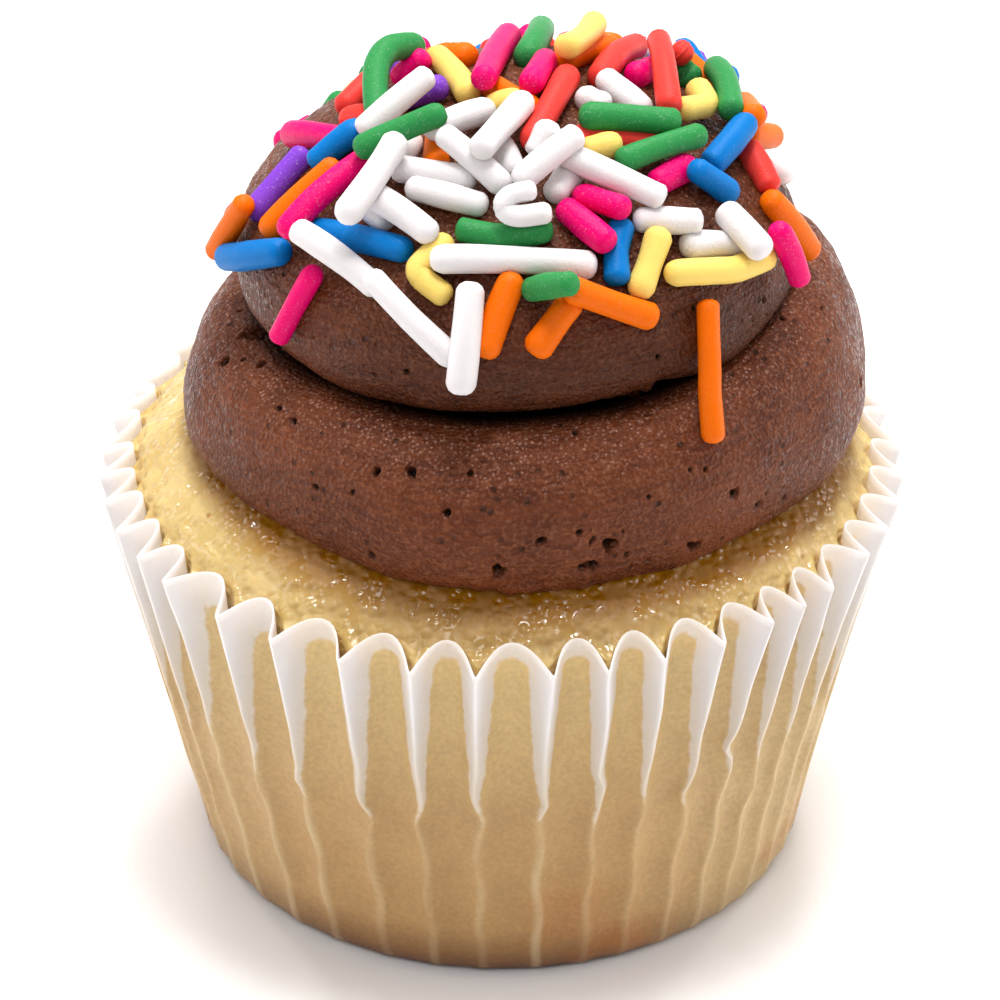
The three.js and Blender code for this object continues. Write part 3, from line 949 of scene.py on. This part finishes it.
def come_to_rest(start, direction):
    """Where on a line a rod's middle first rests on the cream, or passes nearest to it."""
    travelled = 0.0
    best_room, best_travel = 1e9, 0.0
    for _ in range(80):
        room = room_below(start + direction * travelled, [])
        if room < best_room:
            best_room, best_travel = room, travelled
        if room < 0.01 or room > best_room + 3:
            break
        travelled += max(room * 0.9, 0.03) * MM
    spot = start + direction * best_travel
    if best_room > widest_overhang:
        spot += over_cream(spot)[1] * (widest_overhang - best_room) * MM
    return spot


def first_touch(start, direction, laid, reach):
    """How far down a line a rod's middle first touches another rod, or comes to rest."""
    travelled = reach - 6 * MM
    while travelled < reach:
        room = room_below(start + direction * travelled, laid) + rod_give
        if room < 0.02:
            return travelled
        travelled += max(room * 0.9, 0.04) * MM
    return reach


def lay_rod(starts, directions, laid):
    """A rod's path over what is there already, stiff but for a slight bend over the dome."""
    last = len(starts) - 1
    near = come_to_rest(starts[0], directions[0])
    far = come_to_rest(starts[-1], directions[-1])
    near_reach = (near - starts[0]).dot(directions[0])
    far_reach = (far - starts[-1]).dot(directions[-1])
    near_shift = near - starts[0] - directions[0] * near_reach
    far_shift = far - starts[-1] - directions[-1] * far_reach
    length = (far - near).length
    middle = (near + far) / 2
    beside = [other for other in laid
              if (other["middle"] - middle).length < (other["length"] + length) / 2 + 2.5 * MM]
    lines, reaches, stops = [], [], []
    for number, (start, direction) in enumerate(zip(starts, directions)):
        share = number / last
        line = start + near_shift.lerp(far_shift, share)
        reach = blend_between(near_reach, far_reach, share)
        bend = rod_droop * (length / MM) ** 2 * 4 * share * (1 - share)
        line += over_cream(line + direction * reach)[1] * bend * MM
        lines.append(line)
        reaches.append(reach)
        stops.append(first_touch(line, direction, beside, reach))
    # Lift the rod where it is in the way of another, turning it about its other end.
    for _ in range(40):
        excess, worst = max((reach - stop, number)
                            for number, (reach, stop) in enumerate(zip(reaches, stops)))
        if excess < 0.01 * MM:
            break
        share = worst / last
        reaches = [reach - excess * (1 - (1 - 2 * share) * (number / last - share))
                   for number, reach in enumerate(reaches)]
    path = [line + direction * reach
            for line, direction, reach in zip(lines, directions, reaches)]
    too_high = max(spot.z for spot in path) - highest_rod * MM
    if too_high > 0:
        low_end = 0 if path[0].z < path[-1].z else last
        path = [spot - Vector((0, 0, too_high * abs(number - low_end) / last))
                for number, spot in enumerate(path)]
    return path


def add_rod(laid, path, color, thickness=1.0):
    laid.append({"path": path, "color": color, "thickness": thickness,
                 "middle": (path[0] + path[-1]) / 2, "length": (path[-1] - path[0]).length})


def hides(rod, way, reach):
    """Whether a rod crosses a sight line before its end."""
    for mark in rod["path"]:
        along = (mark - eye).dot(way)
        if along < reach and (mark - eye - way * along).length < 0.9 * rod_radius * MM:
            return True
    return False


def hidden_from_front(path, in_front):
    """Whether the dome and the rods on its front hide a rod."""
    for spot in path:
        for outer in (spot, spot + eye_up * 0.7 * rod_radius * MM):
            sight = outer - eye
            way = sight.normalized()
            struck = icing_tree.ray_cast(eye, way)[0]
            if struck is not None and (struck - eye).length < sight.length:
                continue
            if not any(hides(rod, way, sight.length) for rod in in_front):
                return False
    return True


laid_rods = []
front_rods = [(layer, number, color, ends) for color, rods in rods_by_color.items()
              for number, (layer, *ends) in enumerate(rods)]
front_rods.sort(key=lambda rod: (rod[0], rod[1]))
for layer, number, color, ends in front_rods:
    count, passes = (17, 5) if len(ends) > 2 else (7, 0)
    marks = rounded_path([Vector((*mark, 0)) for mark in ends], count, passes)
    path = lay_rod([eye] * count, [sight_line(mark.x, mark.y) for mark in marks], laid_rods)
    add_rod(laid_rods, path, color, thin_rods.get(ends[0], 1.0))

golden_turn = math.pi * (3 - math.sqrt(5))
dome_rise = upper_top - upper_widest
seen_rods = list(laid_rods)
for number in range(scattered_spots):
    drop = scattered_drop * math.sqrt((number + 0.5) / scattered_spots) * math.pi / 2
    angle = number * golden_turn
    heading = (rod_luck.uniform(-level_tilt, level_tilt) if drop < level_above
               else rod_luck.uniform(0, math.pi))
    length = rod_luck.uniform(*scattered_lengths)
    color = rod_luck.choice(list(rods_by_color))
    outward = at_angle(angle, math.sin(drop) * dome_rise,
                       math.cos(drop) * upper_radius).normalized()
    spot = (at_angle(angle, upper_radius * math.sin(drop),
                     upper_widest + dome_rise * math.cos(drop)) + upper_offset) * MM
    if spot.y < 0 or rod_luck.random() < thinned_by * smooth_step(*thins_out, drop):
        continue
    level_way = Vector((math.cos(angle), math.sin(angle), 0))
    down_way = outward.cross(level_way)
    heading_way = level_way * math.cos(heading) + down_way * math.sin(heading)
    starts = [spot + outward * 5 * MM + heading_way * (share / 4 - 0.5) * (length - 1.5) * MM
              for share in range(5)]
    path = lay_rod(starts, [-outward] * 5, laid_rods)
    path = [point - outward * scattered_sink * MM for point in path]
    if (hidden_from_front(path, seen_rods)
            and max(over_cream(point)[0] for point in path) < proud_limit):
        add_rod(laid_rods, path, color)


def shape_rod(bm, path, thickness, luck):
    """Spins a rod with rounded ends and bends it along its path."""
    radius = rod_radius * thickness * luck.uniform(0.92, 1.05)
    rings = rod_steps * (2 if len(path) > 8 else 1)
    core = sum((far - near).length for near, far in zip(path, path[1:])) / MM
    waist, waves = luck.uniform(0, 6.28), luck.uniform(2, 6)
    bow_depth, bow_turn = 0.006 * core ** 2 * luck.uniform(0, 1), luck.uniform(0, 6.28)
    ends = []
    for _ in range(2):
        cap = radius * luck.uniform(0.6, 1.0)
        ends.append([(0, cap), (radius * 0.45, cap * 0.95), (radius * 0.79, cap * 0.68),
                     (radius * 0.96, cap * 0.3)])
    rod = bmesh.new()
    body = [(radius * (1 + 0.045 * math.sin(waist + waves * step / rings)),
             core * step / rings) for step in range(rings + 1)]
    draw_outline(rod, [(r, -h) for r, h in ends[0]] + body
                 + [(r, core + h) for r, h in reversed(ends[1])])
    spin_round(rod, rod_sides)
    side = (path[1] - path[0]).normalized().orthogonal().normalized()
    for vert in rod.verts:
        share = vert.co.z / MM / core if core > 0 else 0
        inside = min(1.0, max(0.0, share))
        here = along_path(path, inside)
        ahead = along_path(path, min(1.0, inside + 0.06))
        behind = along_path(path, max(0.0, inside - 0.06))
        along = (ahead - behind).normalized()
        across = (side - along * side.dot(along)).normalized()
        third = along.cross(across)
        past = (share - inside) * core * MM
        bow = 4 * inside * (1 - inside) * bow_depth * MM
        vert.co = (here + along * past + across * (vert.co.x + bow * math.cos(bow_turn))
                   + third * (vert.co.y + bow * math.sin(bow_turn)))
    mesh = bpy.data.meshes.new("rod")
    rod.to_mesh(mesh)
    rod.free()
    bm.from_mesh(mesh)
    bpy.data.meshes.remove(mesh)


for color, (screen, dust) in rod_screen_colors.items():
    rods_bm = bmesh.new()
    for rod in laid_rods:
        if rod["color"] == color:
            shape_rod(rods_bm, rod["path"], rod["thickness"], rod_luck)
    bmesh.ops.recalc_face_normals(rods_bm, faces=rods_bm.faces[:])
    sugar = Finish("sugar_" + color, roughness=0.42, specular=0.11,
                   through=0.4 if color == "white" else 0.1, through_mm=(0.8, 0.6, 0.6))
    sugar_grain = sugar.grain(9000, 1800, 0.3)
    plain = from_screen(*screen)
    dusted = tuple(blend_between(c, dust_light, dust_cover * dust) for c in plain[:3]) + (1.0,)
    sugar.feed(sugar.ramp(sugar_grain, (0.58, plain), (0.74, dusted)), "Base Color")
    sugar.bump(sugar_grain, 0.035)
    finish_piece(rods_bm, "sprinkles_" + color, sugar)

# ---------------------------------------------------------------- Floor and light
# A white sweep, and soft light from large panels above, to both sides and in front, with
# small bright ones above and behind for the glints.
floor_bm = bmesh.new()
bmesh.ops.create_grid(floor_bm, x_segments=1, y_segments=1, size=2.0)
white_sweep = Finish("white_sweep", roughness=0.9, specular=0.1)
white_sweep.feed((0.93, 0.93, 0.93, 1), "Base Color")
set_out(floor_bm, "floor", white_sweep)

world = bpy.data.worlds.new("studio")
bpy.context.scene.world = world
world.use_nodes = True
world.node_tree.nodes["Background"].inputs["Color"].default_value = (1, 1, 1, 1)
world.node_tree.nodes["Background"].inputs["Strength"].default_value = 0.44

# Square lights that face the cake: name, place and width in mm, and watts.
for name, place, width, watts in (
        ("top_panel", (0, 90, 420), 260, 1.65), ("left_panel", (-380, 20, 90), 260, 0.48),
        ("right_panel", (380, 20, 90), 260, 0.6), ("front_panel", (-40, -270, 330), 150, 0.28),
        ("spark_above", (20, -20, 430), 60, 0.5), ("spark_behind", (60, 300, 330), 80, 0.4),
        ("spark_left", (-250, 230, 400), 36, 0.22), ("spark_right", (250, 230, 400), 36, 0.22)):
    panel = bpy.data.lights.new(name, "AREA")
    panel.size = width * MM
    panel.energy = watts
    lamp = bpy.data.objects.new(name, panel)
    lamp.location = Vector(place) * MM
    lamp.rotation_euler = (look_at - lamp.location).to_track_quat("-Z", "Y").to_euler()
    bpy.context.collection.objects.link(lamp)

bpy.context.scene.view_settings.view_transform = "Standard"
